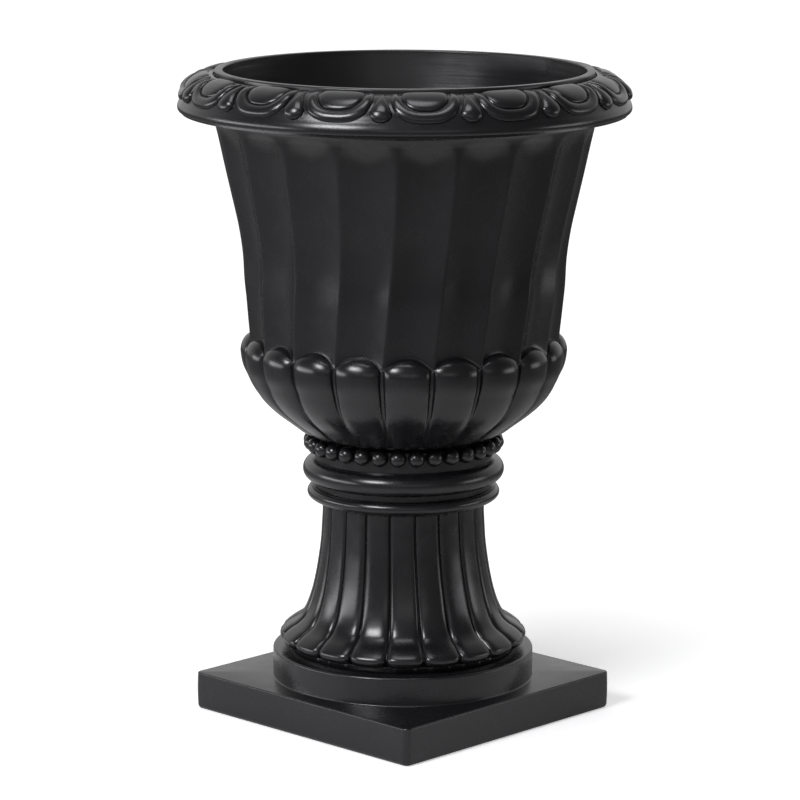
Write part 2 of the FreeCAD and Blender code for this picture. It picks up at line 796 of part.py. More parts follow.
def neck_bolts():
    head_base = bowl_base + bowl_floor_thickness + washer_thickness
    tip = collar_base - stem_plate_thickness - nut_height - neck_bolt_overrun
    bolts = []
    for x, y in circle_places(neck_bolt_count, neck_bolt_circle):
        shank = cylinder(neck_bolt_radius, tip, head_base - tip, x, y)
        head = hexagon(neck_bolt_head_width, head_base, neck_bolt_head_height, x, y)
        bolts.append(shank.fuse(head))
    return Part.Compound(bolts)


def neck_washers():
    seat = bowl_base + bowl_floor_thickness
    washers = []
    for x, y in circle_places(neck_bolt_count, neck_bolt_circle):
        disc = cylinder(washer_radius, seat, washer_thickness, x, y)
        hole = cylinder(neck_bolt_radius + neck_hole_gap / 2, seat - 1, washer_thickness + 2, x, y)
        washers.append(disc.cut(hole))
    return Part.Compound(washers)


def neck_nuts():
    seat = collar_base - stem_plate_thickness - nut_height
    nuts = []
    for x, y in circle_places(neck_bolt_count, neck_bolt_circle):
        body = hexagon(nut_width, seat, nut_height, x, y)
        nuts.append(body.cut(cylinder(neck_bolt_radius + thread_gap, seat - 1, nut_height + 2, x, y)))
    return Part.Compound(nuts)


def base_screws():
    seat = stem_base - step_wall
    screws = []
    for x, y in circle_places(base_screw_count, base_screw_circle):
        shank = cylinder(base_screw_radius, seat, base_screw_length, x, y)
        head = cylinder(base_screw_head_radius, seat - base_screw_head_height,
                        base_screw_head_height, x, y)
        screws.append(shank.fuse(head))
    return Part.Compound(screws)


def rim_screws():
    seat = rim_base - flange_thickness
    screws = []
    for x, y in circle_places(rim_screw_count, rim_screw_circle):
        shank = cylinder(rim_screw_radius, seat, rim_screw_length, x, y)
        head = cylinder(rim_screw_head_radius, seat - rim_screw_head_height,
                        rim_screw_head_height, x, y)
        screws.append(shank.fuse(head))
    return Part.Compound(screws)


pieces = {
    "square_plinth": square_plinth,
    "ribbed_stem": ribbed_stem,
    "neck_collar": neck_collar,
    "bowl_shell": bowl_shell,
    "rim_ring": rim_ring,
    "liner_pot": liner_pot,
    "drain_plug": drain_plug,
    "neck_bolts": neck_bolts,
    "neck_washers": neck_washers,
    "neck_nuts": neck_nuts,
    "base_screws": base_screws,
    "rim_screws": rim_screws,
}

os.makedirs("parts", exist_ok=True)
for name, make in pieces.items():
    shape = make()
    shape.exportStep(f"parts/{name}.step")
    print(f"{name}: {len(shape.Solids)} solids, {shape.Volume / 1000:.1f} cm3, valid {shape.isValid()}")
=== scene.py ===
import math

import bpy
import numpy as np
from mathutils import Matrix


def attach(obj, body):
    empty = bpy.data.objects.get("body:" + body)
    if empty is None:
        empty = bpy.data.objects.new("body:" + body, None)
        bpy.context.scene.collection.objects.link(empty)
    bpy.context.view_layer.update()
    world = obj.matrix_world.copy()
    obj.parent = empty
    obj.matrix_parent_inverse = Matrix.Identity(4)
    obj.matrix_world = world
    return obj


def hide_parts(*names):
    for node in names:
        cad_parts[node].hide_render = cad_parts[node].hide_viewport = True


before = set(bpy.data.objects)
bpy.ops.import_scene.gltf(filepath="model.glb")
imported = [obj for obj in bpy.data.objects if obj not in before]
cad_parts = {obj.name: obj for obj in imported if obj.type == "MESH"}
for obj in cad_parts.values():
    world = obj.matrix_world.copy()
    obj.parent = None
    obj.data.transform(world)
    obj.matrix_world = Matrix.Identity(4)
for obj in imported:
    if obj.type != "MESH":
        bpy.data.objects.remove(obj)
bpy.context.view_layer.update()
print("frame in:", sorted(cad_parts))

# Shapes are worked out in millimetres and go into the meshes in metres. Angles are in degrees.
# A name that ends in Rows says how many rows of points a stretch of surface gets, and one that
# ends in Span gives the two values between which something eases in. Edges that bend by more than
# the sharp angle are drawn crisp.
millimetre = 0.001


# A run of points on a circle in the (radius, height) plane, between two angles up from level
def arcRun(centre, radius, fromAngle, toAngle, count):
    turn = np.radians(np.linspace(fromAngle, toAngle, count))
    return np.stack([centre[0] + radius * np.cos(turn), centre[1] + radius * np.sin(turn)], 1)


# A smooth run through given points: on each span a cubic whose end slopes join the neighbours
def smoothRun(points, count):
    points = np.array(points, float)
    knots = np.concatenate([[0], np.cumsum(np.linalg.norm(np.diff(points, axis=0), axis=1))])
    slopes = np.gradient(points, knots, axis=0)
    spots = np.linspace(0, knots[-1], count)
    span = np.clip(np.searchsorted(knots, spots, side="right") - 1, 0, len(points) - 2)
    width = knots[span + 1] - knots[span]
    t = ((spots - knots[span]) / width)[:, None]
    width = width[:, None]
    return ((2 * t**3 - 3 * t**2 + 1) * points[span] + (t**3 - 2 * t**2 + t) * width * slopes[span]
            + (3 * t**2 - 2 * t**3) * points[span + 1] + (t**3 - t**2) * width * slopes[span + 1])


# Corners joined by straight runs, each cut into count steps
def straightRun(points, count):
    points = np.array(points, float)
    share = np.arange(count)[None, :, None] / count
    runs = points[:-1, None] * (1 - share) + points[1:, None] * share
    return np.concatenate([runs.reshape(-1, 2), points[-1:]])


# Eases from 0 to 1 as value goes from low to high: 3t squared less 2t cubed
def ease(value, low, high):
    t = np.clip((value - low) / (high - low), 0, 1)
    return t * t * (3 - 2 * t)


# Puts radius, angle and height, which may be whole grids, at x, y, z
def aroundAxis(radius, angle, height):
    radius, angle, height = np.broadcast_arrays(radius, np.radians(angle), height)
    return np.stack([radius * np.cos(angle), radius * np.sin(angle), height], -1)


# A profile's points as rows and the angles as columns
def profileRows(points, angle):
    points = np.array(points, float)
    return aroundAxis(points[:, 0:1], angle, points[:, 1:2])


# One mesh from grids of points shaped (copies, rows, columns, 3). Columns always close on
# themselves. Rows close too, or else each end is drawn together in a pole at its row's middle.
# The volume under the faces tells which way they point, and they are turned outwards.
def pieceFromGrids(name, grids, rowsClose, sharpAngle):
    copies, rows, columns = grids.shape[:3]
    row = np.arange(rows if rowsClose else rows - 1)[:, None]
    column = np.arange(columns)[None, :]
    nextRow, nextColumn = (row + 1) % rows, (column + 1) % columns
    quads = np.stack([row * columns + column, row * columns + nextColumn,
                      nextRow * columns + nextColumn, nextRow * columns + column], -1)
    quads = quads.reshape(-1, 4)
    points = grids.reshape(copies, rows * columns, 3)
    fans = np.zeros((0, 3), int)
    if not rowsClose:
        poles = np.stack([grids[:, 0].mean(1), grids[:, -1].mean(1)], 1)
        points = np.concatenate([points, poles], 1)
        around = np.arange(columns)
        after = (around + 1) % columns
        last = (rows - 1) * columns
        fans = np.concatenate([
            np.stack([np.full(columns, rows * columns), after, around], 1),
            np.stack([np.full(columns, rows * columns + 1), last + around, last + after], 1)])
    first = points[0]
    halves = np.concatenate([quads[:, [0, 1, 2]], quads[:, [0, 2, 3]], fans])
    a, b, c = first[halves[:, 0]], first[halves[:, 1]], first[halves[:, 2]]
    if np.einsum("ij,ij->i", a, np.cross(b, c)).sum() < 0:
        quads, fans = quads[:, ::-1], fans[:, ::-1]
    shift = (np.arange(copies) * points.shape[1])[:, None, None]
    faces = (quads + shift).reshape(-1, 4).tolist() + (fans + shift).reshape(-1, 3).tolist()
    mesh = bpy.data.meshes.new(name)
    mesh.from_pydata((points.reshape(-1, 3) * millimetre).tolist(), [], faces)
    mesh.shade_smooth()
    mesh.set_sharp_from_angle(angle=math.radians(sharpAngle))
    piece = bpy.data.objects.new(name, mesh)
    bpy.context.scene.collection.objects.link(piece)
    print(f"{name}: {len(faces)} faces")
    return piece


# A profile turned round the axis
def turnedPiece(name, profile, columns, rowsClose, sharpAngle):
    angle = np.arange(columns) * 360 / columns
    return pieceFromGrids(name, profileRows(profile, angle[None, :])[None], rowsClose, sharpAngle)


# A new node of a kind. A setting named in_ and an input's name goes to that input.
def addNode(tree, kind, **settings):
    node = tree.nodes.new(kind)
    for key, value in settings.items():
        if key.startswith("in_"):
            node.inputs[key[3:]].default_value = value
        else:
            setattr(node, key, value)
    return node


# A node that takes values over a span to values from low to high
def addRange(tree, span, low, high, kind="LINEAR"):
    node = addNode(tree, "ShaderNodeMapRange", interpolation_type=kind)
    for name, value in zip(("From Min", "From Max", "To Min", "To Max"), (*span, low, high)):
        node.inputs[name].default_value = value
    return node


# Most of a noise's values lie in this span. Each use has its own fineness of detail.
noiseSpan = (0.3, 0.7)
noiseDetail = {"wander": 3, "gloss": 5, "grain": 4, "flow": 2}


# Noise on the piece's own coordinates, stretched, and ranged from low to high
def noiseRange(tree, coordinates, stretch, scale, detail, low, high):
    mapping = addNode(tree, "ShaderNodeMapping")
    mapping.inputs["Scale"].default_value = stretch
    noise = addNode(tree, "ShaderNodeTexNoise", in_Scale=scale, in_Detail=detail)
    ranged = addRange(tree, noiseSpan, low, high)
    tree.links.new(coordinates.outputs["Object"], mapping.inputs["Vector"])
    tree.links.new(mapping.outputs["Vector"], noise.inputs["Vector"])
    tree.links.new(noise.outputs["Fac"], ranged.inputs["Value"])
    return ranged.outputs["Result"]


# A moulded finish: colour and gloss wander a little over the surface, and a fine grain and faint
# flow marks from the mould raise it by hundredths of a millimetre
def mouldedFinish(name, look):
    material = bpy.data.materials.new(name)
    material.use_nodes = True
    tree = material.node_tree
    shader = tree.nodes["Principled BSDF"]
    coordinates = addNode(tree, "ShaderNodeTexCoord")
    tint = addNode(tree, "ShaderNodeMix", data_type="RGBA")
    tint.inputs["A"].default_value = (*look["colourLow"], 1)
    tint.inputs["B"].default_value = (*look["colourHigh"], 1)
    even = (1, 1, 1)
    wander = noiseRange(tree, coordinates, even, look["wanderScale"], noiseDetail["wander"], 0, 1)
    tree.links.new(wander, tint.inputs["Factor"])
    tree.links.new(tint.outputs["Result"], shader.inputs["Base Color"])
    gloss = noiseRange(tree, coordinates, even, look["glossScale"], noiseDetail["gloss"],
                       look["roughLow"], look["roughHigh"])
    tree.links.new(gloss, shader.inputs["Roughness"])
    grain = noiseRange(tree, coordinates, even, look["grainScale"], noiseDetail["grain"], 0, 1)
    flow = noiseRange(tree, coordinates, look["flowStretch"], look["flowScale"],
                      noiseDetail["flow"], 0, 1)
    grainBump = addNode(tree, "ShaderNodeBump", in_Strength=look["grainStrength"],
                        in_Distance=look["grainDepth"])
    flowBump = addNode(tree, "ShaderNodeBump", in_Strength=look["flowStrength"],
                       in_Distance=look["flowDepth"])
    tree.links.new(grain, grainBump.inputs["Height"])
    tree.links.new(flow, flowBump.inputs["Height"])
    tree.links.new(grainBump.outputs["Normal"], flowBump.inputs["Normal"])
    tree.links.new(flowBump.outputs["Normal"], shader.inputs["Normal"])
    shader.inputs["Metallic"].default_value = look["metal"]
    shader.inputs["Specular IOR Level"].default_value = look["specular"]
    return material


urnLook = {
    "colourLow": (0.0046, 0.0046, 0.0054), "colourHigh": (0.0068, 0.0068, 0.0080),
    "roughLow": 0.23, "roughHigh": 0.29, "specular": 0.5, "metal": 0.0,
    "wanderScale": 9.0, "glossScale": 60.0,
    "grainScale": 1900.0, "grainStrength": 0.07, "grainDepth": 0.0001,
    "flowStretch": (1, 1, 0.35), "flowScale": 30.0, "flowStrength": 0.05, "flowDepth": 0.0010,
}
linerLook = {
    "colourLow": (0.0050, 0.0050, 0.0058), "colourHigh": (0.0080, 0.0080, 0.0092),
    "roughLow": 0.27, "roughHigh": 0.36, "specular": 0.5, "metal": 0.0,
    "wanderScale": 7.0, "glossScale": 40.0,
    "grainScale": 1700.0, "grainStrength": 0.10, "grainDepth": 0.0001,
    "flowStretch": (1, 1, 30), "flowScale": 7.0, "flowStrength": 0.07, "flowDepth": 0.0010,
}
rubberLook = {
    "colourLow": (0.022, 0.022, 0.022), "colourHigh": (0.034, 0.034, 0.033),
    "roughLow": 0.62, "roughHigh": 0.78, "specular": 0.35, "metal": 0.0,
    "wanderScale": 60.0, "glossScale": 200.0,
    "grainScale": 2600.0, "grainStrength": 0.3, "grainDepth": 0.0001,
    "flowStretch": (1, 1, 1), "flowScale": 90.0, "flowStrength": 0.1, "flowDepth": 0.0005,
}
steelLook = {
    "colourLow": (0.50, 0.50, 0.51), "colourHigh": (0.62, 0.62, 0.61),
    "roughLow": 0.24, "roughHigh": 0.46, "specular": 0.5, "metal": 1.0,
    "wanderScale": 160.0, "glossScale": 320.0,
    "grainScale": 3200.0, "grainStrength": 0.25, "grainDepth": 0.0001,
    "flowStretch": (1, 1, 9), "flowScale": 120.0, "flowStrength": 0.15, "flowDepth": 0.0003,
}
urnPlastic = mouldedFinish("urnPlastic", urnLook)
linerPlastic = mouldedFinish("linerPlastic", linerLook)
plugRubber = mouldedFinish("plugRubber", rubberLook)
zincSteel = mouldedFinish("zincSteel", steelLook)
print("finishes mixed")


# Gives a piece its material, the body it rides on and the nodes it replaces
def placePiece(piece, material, body, nodes):
    piece.data.materials.append(material)
    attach(piece, body)
    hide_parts(*nodes)


# The square plinth with its round step
plinth = {
    "side": 325.0, "corner": 7.0, "footRound": 5.0, "topRound": 1.5, "height": 41.5,
    "barrel": 0.5, "wall": 7.5, "cavityCorner": 3.0, "cavityMiddle": 20.0,
    "stepRadius": 143.4, "stepTop": 73.0, "stepFillet": 1.5, "stepRound": 2.5,
    "stepWall": 5.0, "stepSeat": 128.0, "holeRadius": 60.0, "edge": 1.0,
    "sideColumns": 40, "cornerColumns": 12,
    "footRows": 8, "sideRows": 9, "topRows": 5, "filletRows": 6, "roundRows": 7, "sharp": 30.0,
}


# Radius at an angle of a square with rounded corners: the straight side's half over the cosine,
# or where the ray meets the corner's circle
def squareRadius(angle, half, corner):
    turn = np.radians(angle)
    c, s = np.abs(np.cos(turn)), np.abs(np.sin(turn))
    side = half / np.maximum(c, s)
    centre = half - corner
    along = centre * (c + s)
    inside = np.maximum(along**2 - (2 * centre**2 - corner**2), 0)
    inCorner = np.minimum(c, s) * side > centre
    return np.where(inCorner, along + np.sqrt(inside), side)


# Columns follow the square's outline, with close ones round each corner. Rows carry a profile up
# the outside and down the hollow: each is square, with its own half side, or round. The upright
# side swells outwards by a half sine.
def buildPlinth(p):
    half = p["side"] / 2
    flat = half - p["corner"]
    straight = np.linspace(-flat, flat, p["sideColumns"])
    bend = np.radians(np.linspace(0, 90, p["cornerColumns"] + 2)[1:-1])
    x = np.concatenate([np.full(len(straight), half), flat + p["corner"] * np.cos(bend)])
    y = np.concatenate([straight, flat + p["corner"] * np.sin(bend)])
    quarter = np.degrees(np.arctan2(y, x))
    angle = (quarter[None, :] + 90 * np.arange(4)[:, None]).reshape(-1)
    foot, top, count = p["footRound"], p["topRound"], p["sideRows"]
    swell = p["barrel"] * np.sin(np.linspace(0, np.pi, count))
    side = np.stack([half + swell, np.linspace(foot, p["height"] - top, count)], 1)
    outside = np.concatenate([
        arcRun((half - foot, foot), foot, -90, -6, p["footRows"]), side,
        arcRun((half - top, p["height"] - top), top, 4, 90, p["topRows"])])
    grid = [aroundAxis(squareRadius(angle, r, p["corner"] + r - half), angle, z)
            for r, z in outside]
    radius, fillet, edge = p["stepRadius"], p["stepFillet"], p["stepRound"]
    stepInner, stepUnder = radius - p["stepWall"], p["stepTop"] - p["stepWall"]
    ceiling = p["height"] - p["wall"]
    step = np.concatenate([
        arcRun((radius + fillet, p["height"] + fillet), fillet, 270, 180, p["filletRows"]),
        arcRun((radius - edge, p["stepTop"] - edge), edge, 0, 90, p["roundRows"]),
        [[p["stepSeat"], p["stepTop"]], [p["holeRadius"] + p["edge"], p["stepTop"]],
         [p["holeRadius"], p["stepTop"] - p["edge"]], [p["holeRadius"], stepUnder],
         [stepInner, stepUnder], [stepInner, ceiling + p["edge"]]]])
    grid += [aroundAxis(r, angle, z) for r, z in step]
    cavity = squareRadius(angle, half - p["wall"], p["cavityCorner"])
    grid += [aroundAxis(cavity, angle, z) for z in (ceiling, p["cavityMiddle"], 0.0)]
    return pieceFromGrids("squarePlinth", np.array(grid)[None], True, p["sharp"])


placePiece(buildPlinth(plinth), urnPlastic, "urn", ["square_plinth"])


# The ribbed stem with its toes and its band. The crest runs from the neck up to the band.
stem = {
    "ribs": 20, "columnsPerRib": 28, "columnCrowding": 0.62, "crestRows": 92, "bandRows": 22,
    "crest": [(124.6, 79.6), (128.6, 79.9), (132.4, 81.2), (134.9, 84.0), (135.7, 87.5),
              (134.6, 90.6), (132.1, 93.2), (126.0, 98.0), (118.0, 103.0), (112.5, 108.0),
              (109.2, 113.0), (104.7, 123.0), (101.4, 133.0), (96.6, 153.0), (93.2, 173.0),
              (90.6, 193.0), (89.3, 213.0), (88.6, 226.0), (88.6, 238.2)],
    "toeDepth": 8.2, "shaftDepth": 4.6, "toeFullness": 5.0, "shaftFullness": 5.5,
    "shaftSpan": (92, 150), "grooveSpan": (76, 83.0), "groovePower": 0.5, "leastDepth": 0.4,
    "tongueRound": 3.0, "tongueSpan": (79, 90), "lean": -1.85, "leanSpan": (95, 235),
    "foot": [(100.0, 73.0), (123.2, 73.0), (124.0, 73.8), (124.0, 79.5)],
    "band": [(94.0, 238.5), (96.0, 240.0), (101.2, 241.9), (104.6, 245.2), (105.3, 248.4),
             (104.2, 251.6), (102.4, 253.4), (101.4, 254.0)],
    "inside": [(101.0, 254.0), (24.8, 254.0), (24.0, 253.2), (24.0, 248.0), (76.0, 248.0),
               (77.0, 200.0), (82.0, 160.0), (92.0, 125.0), (102.0, 98.0), (100.0, 80.0)],
    "sharp": 50.0,
}


# Columns crowd towards the grooves: part even, part sine of the even place
def crowdedColumns(count, crowding):
    even = (np.arange(count) + 0.5) / count * 2 - 1
    return (1 - crowding) * even + crowding * np.sin(even * np.pi / 2)


# Every column's place across its rib or lobe, from -1 to 1, and its angle, each as one row
def ribColumns(ribs, perRib, crowding):
    place = crowdedColumns(perRib, crowding)
    angle = 360 / ribs * (np.arange(ribs)[:, None] + 0.5 + place[None, :] / 2)
    return np.tile(place, ribs)[None, :], angle.reshape(1, -1)


# A rib's or lobe's section over its pitch, 0 on its crest and 1 in the groove: one less the
# height of a flattened ellipse
def fullSection(place, fullness):
    return 1 - np.sqrt(np.maximum(1 - np.abs(place) ** fullness, 0))


# The crest's profile is carried round the axis, and each column is drawn in by the groove depth
# times the rib's section. The tongues' ends are rounded in plan as they turn under, by the cube
# of the place across. The ribs lean back slightly as they rise.
def buildStem(p):
    crest = smoothRun(p["crest"], p["crestRows"])
    place, angle = ribColumns(p["ribs"], p["columnsPerRib"], p["columnCrowding"])
    radius, height = crest[:, 0:1], crest[:, 1:2]
    low = 1 - ease(height, *p["shaftSpan"])
    depth = p["shaftDepth"] + (p["toeDepth"] - p["shaftDepth"]) * low
    depth = depth * ease(height, *p["grooveSpan"]) ** p["groovePower"] + p["leastDepth"]
    fullness = p["shaftFullness"] + (p["toeFullness"] - p["shaftFullness"]) * low
    under = p["tongueRound"] * (1 - ease(height, *p["tongueSpan"])) * np.abs(place) ** 3
    ribbed = radius - depth * fullSection(place, fullness) - under
    ribs = aroundAxis(ribbed, angle + p["lean"] * ease(height, *p["leanSpan"]), height)
    leaned = angle + p["lean"]
    grid = np.concatenate([
        profileRows(p["foot"], angle), ribs,
        profileRows(smoothRun(p["band"], p["bandRows"]), leaned), profileRows(p["inside"], leaned)])
    return pieceFromGrids("ribbedStem", grid[None], True, p["sharp"])


placePiece(buildStem(stem), urnPlastic, "urn", ["ribbed_stem"])


# The neck collar: a round moulding and a ring of beads
collar = {
    "bore": 86.0, "neck": 96.0, "base": 254.0, "top": 320.0, "edge": 0.6,
    "torusCentre": (98.0, 273.6), "torusRadius": 12.2, "torusTurn": 84, "torusRows": 30,
    "torusGap": 0.4, "shoulder": (97.2, 286.4),
    "beadSeat": (97.5, 292.5), "beadBack": (97.5, 309.0), "beadTop": (92.0, 312.0),
    "beadCount": 32, "beadRing": 100.8, "beadHeight": 303.4, "beadRadius": 9.1, "beadPhase": -4.5,
    "beadTurn": 84, "beadRows": 19, "beadColumns": 28, "beadSharp": 60.0,
    "steps": 2, "columns": 288, "sharp": 40.0,
}


# The collar's profile is turned round the axis
def buildCollar(p):
    centre, radius, turn = p["torusCentre"], p["torusRadius"], p["torusTurn"]
    profile = np.concatenate([
        [[p["bore"], p["base"]], [p["neck"] - p["edge"], p["base"]],
         [p["neck"], p["base"] + p["edge"]], [p["neck"], centre[1] - radius - p["torusGap"]]],
        arcRun(centre, radius, -turn, turn, p["torusRows"]),
        straightRun([p["shoulder"], p["beadSeat"], p["beadBack"], p["beadTop"],
                     (p["beadTop"][0], p["top"]), (p["bore"], p["top"])], p["steps"])])
    return turnedPiece("neckCollar", profile, p["columns"], True, p["sharp"])


# Each bead is a ball: a circle turned about its own upright line, set out round the collar
def buildBeads(p):
    rise = np.radians(np.linspace(-p["beadTurn"], p["beadTurn"], p["beadRows"]))[:, None]
    around = np.arange(p["beadColumns"])[None, :] * 360 / p["beadColumns"]
    ball = aroundAxis(p["beadRadius"] * np.cos(rise), around, p["beadRadius"] * np.sin(rise))
    at = p["beadPhase"] + np.arange(p["beadCount"]) * 360 / p["beadCount"]
    centres = aroundAxis(p["beadRing"], at, p["beadHeight"])
    balls = ball[None] + centres[:, None, None, :]
    return pieceFromGrids("collarBeads", balls, False, p["beadSharp"])


placePiece(buildCollar(collar), urnPlastic, "urn", ["neck_collar"])
placePiece(buildBeads(collar), urnPlastic, "urn", ["neck_collar"])


# The bowl: gadroon lobes with rounded heads, flutes over them and a flared flange
bowl = {
    "count": 20, "columnsPerLobe": 28, "columnCrowding": 0.55,
    "lobes": [(104.0, 315.6), (108.5, 316.2), (113.6, 318.8), (119.0, 322.8), (125.2, 327.6),
              (132.5, 333.0), (139.0, 338.0), (145.0, 343.0), (150.4, 348.0), (159.4, 358.0),
              (165.8, 368.0), (170.4, 378.0), (175.0, 388.0), (177.0, 396.0), (178.0, 404.0)],
    "lobeDepthLow": 5.0, "lobeDepthHigh": 9.5, "lobeFullness": 2.15, "lobeGroove": 0.94,
    "lobeSpan": (322, 404), "lobeRows": 42,
    "headCentre": 404.0, "headLow": 410.0, "headRise": 13.8, "headArch": 2.3, "headTurn": 88,
    "headRows": 16, "headLip": 0.9, "lipIn": (0.7, 0.1), "lipUp": (0.35, 0.6),
    "ridges": [(169.3, 404.0), (169.5, 420.0), (172.0, 448.0), (174.8, 478.0), (176.2, 508.0),
               (180.3, 538.0), (186.7, 568.0), (193.4, 598.0), (199.8, 628.0), (204.6, 650.0)],
    "fluteDepth": 8.0, "fluteLand": 0.035, "fluteEnd": 627.0, "fluteArch": 31.0,
    "archPower": 3.2, "archLand": 0.10, "archSpan": (596, 652),
    "twist": 5.6, "twistPower": 1.8, "twistBase": 404.0, "twistTop": 650.0, "leanFrom": 424.0,
    "wallStart": 0.8, "wallEnd": 626.0, "wallRows": 44,
    "shoulder": (627.5, 650), "shoulderRows": 18,
    "cove": [(204.6, 650.0), (206.2, 654.0), (208.8, 658.6), (212.6, 661.6), (219.0, 663.1),
             (229.0, 663.5), (238.0, 664.0), (240.0, 664.6)],
    "coveRows": 30, "ridgeSteps": 400, "sharp": 55.0,
    "inside": [(240.0, 667.0), (240.0, 670.0), (215.0, 670.0), (195.6, 670.0), (194.6, 669.0),
               (194.6, 650.0), (183.0, 600.0), (168.0, 545.0), (165.0, 500.0), (162.0, 450.0),
               (160.0, 405.0), (155.0, 378.0), (140.0, 352.0), (118.0, 333.0), (98.0, 326.0),
               (92.0, 325.0), (12.0, 325.0), (12.0, 320.0), (86.0, 320.0), (100.0, 320.0)],
    "insideSpan": (420, 650),
}


# How far the flutes have turned at a height: quickly at first, then ever less
def bowlTwist(height):
    share = np.clip((height - bowl["twistBase"]) / (bowl["twistTop"] - bowl["twistBase"]), 0, 1)
    return bowl["twist"] * (1 - (1 - share) ** bowl["twistPower"])


# Depth of the nearest flute: a hollow that is deepest half way between ridges, rounded off over
# each ridge's land, and closed at the top in an arch with rounded corners. Across the flute the
# depth goes as 2s less s squared, where s is the softened distance from the ridge.
def fluteHollow(angle, height):
    across = (angle - bowlTwist(height)) * bowl["count"] / 360
    across = np.abs((across - np.floor(across)) * 2 - 1)
    up = np.maximum(height - bowl["fluteEnd"], 0) / bowl["fluteArch"]
    power = bowl["archPower"]
    toRidge = np.maximum(1 - (across**power + up**power) ** (1 / power), 0)
    land = bowl["fluteLand"] + bowl["archLand"] * ease(height, *bowl["archSpan"])
    part = (np.sqrt(toRidge**2 + land**2) - land) / (np.sqrt(1 + land**2) - land)
    return bowl["fluteDepth"] * (2 * part - part**2)


# Up the outside: the lobes' crest profile less their section, then each head as a quarter
# ellipse that closes on the fluted wall along its own arch, then the flutes and the cove. The
# columns lean with the flutes, so that each ridge keeps to its own columns.
def buildBowl(p):
    place, angle = ribColumns(p["count"], p["columnsPerLobe"], p["columnCrowding"])
    ridge = smoothRun(p["ridges"], p["ridgeSteps"])
    section = fullSection(np.minimum(np.abs(place) / p["lobeGroove"], 1), p["lobeFullness"])

    def ridgeAt(height):
        return np.interp(height, ridge[:, 1], ridge[:, 0])

    def flutedRows(radius, height):
        turned = angle + np.maximum(bowlTwist(height) - bowlTwist(p["leanFrom"]), 0)
        return aroundAxis(radius - fluteHollow(turned, height), turned, height)

    crest = smoothRun(p["lobes"], p["lobeRows"])
    rise = ease(crest[:, 1:2], *p["lobeSpan"])
    depth = p["lobeDepthLow"] + (p["lobeDepthHigh"] - p["lobeDepthLow"]) * rise
    lobes = aroundAxis(crest[:, 0:1] - depth * section, angle, crest[:, 1:2])

    edge = p["headLow"] + p["headRise"] * (1 - np.abs(place) ** p["headArch"])
    wallAtEdge = ridgeAt(edge) - fluteHollow(angle, edge)
    start = crest[-1, 0] - p["lobeDepthHigh"] * section
    turn = np.radians(np.linspace(0, p["headTurn"], p["headRows"]))[1:, None]
    lip = p["headLip"]
    headRadius = wallAtEdge + lip + (start - wallAtEdge - lip) * np.cos(turn)
    headHeight = p["headCentre"] + (edge - p["headCentre"]) * np.sin(turn)
    heads = aroundAxis(headRadius, angle, headHeight)
    lipRows = aroundAxis(wallAtEdge + lip * np.array(p["lipIn"])[:, None], angle,
                         edge + np.array(p["lipUp"])[:, None])

    share = np.linspace(0, 1, p["wallRows"])[:, None]
    height = edge + p["wallStart"] + (p["wallEnd"] - edge - p["wallStart"]) * share
    wall = flutedRows(ridgeAt(height), height)
    height = np.linspace(*p["shoulder"], p["shoulderRows"])[:, None]
    shoulder = flutedRows(ridgeAt(height), height)
    cove = smoothRun(p["cove"], p["coveRows"])[1:]
    cove = flutedRows(cove[:, 0:1], cove[:, 1:2])

    lean = bowlTwist(p["twistTop"]) - bowlTwist(p["leanFrom"])
    inner = np.array(p["inside"])
    inside = profileRows(inner, angle + lean * ease(inner[:, 1:2], *p["insideSpan"]))
    grid = np.concatenate([lobes, heads, lipRows, wall, shoulder, cove, inside])
    return pieceFromGrids("flutedBowl", grid[None], True, p["sharp"])


placePiece(buildBowl(bowl), urnPlastic, "urn", ["bowl_shell"])


# The rim: a plain rolled ring, and on its crown the swags, their cushions and the drops. Their
# places up the crown are shares of its arc from the nose to the top.
rim = {
    "crownCentre": (207.4, 671.2), "crownRadius": 34.9, "crownFrom": 8.7, "crownTurn": 80.6,
    "crownShares": (0.945, 0.135), "crownRows": 40,
    "bead": [(205.8, 704.6), (206.1, 705.7), (207.2, 706.3), (208.9, 706.3), (210.0, 705.9)],
    "beadRows": 12,
    "nose": [(240.4, 682.4), (241.6, 679.8), (243.1, 677.0), (244.2, 673.8), (244.5, 671.2),
             (244.2, 669.2), (243.3, 667.7)],
    "noseRows": 14,
    "skirt": [(242.6, 667.3), (240.35, 667.3), (240.35, 670.0), (239.0, 670.0)],
    "wall": 4, "innerTurn": (6, 84), "innerRows": 12,
    "mouth": (205.8, 703.0),
    "ledge": [(203.4, 699.0), (203.4, 670.0), (199.4, 670.0), (199.4, 703.0)],
    "count": 16, "phase": 4.2, "columns": 640, "sharp": 45.0, "trimSharp": 60.0,
}
swag = {
    "outerWidth": 9.2, "outerLow": 0.07, "outerPower": 2.8,
    "innerWidth": 6.6, "innerLow": 0.33, "innerPower": 2.6,
    "topShare": 0.92, "lift": 3.9, "sink": 1.4, "along": 72, "around": 20,
    "endFrom": 62.0, "endLift": 0.35, "endWidth": 0.72,
}
cushion = {
    "gap": 0.955, "lift": 3.2, "topDepth": 0.035, "topDrop": 0.02, "shoulder": 4.5,
    "sink": 1.2, "edgeSink": 0.15, "centreHole": 0.06, "along": 60, "out": 14,
}
drop = {
    "width": 2.85, "low": 0.085, "wide": 0.285, "top": 0.93, "lift": 6.3, "neck": 0.18,
    "taperSpan": (-0.25, 0.92), "leastWidth": 0.02, "liftPower": 0.8,
    "topFade": 0.85, "fadeSpan": (0.80, 0.93), "crowding": 1.15,
    "sink": 1.4, "along": 44, "around": 22,
}


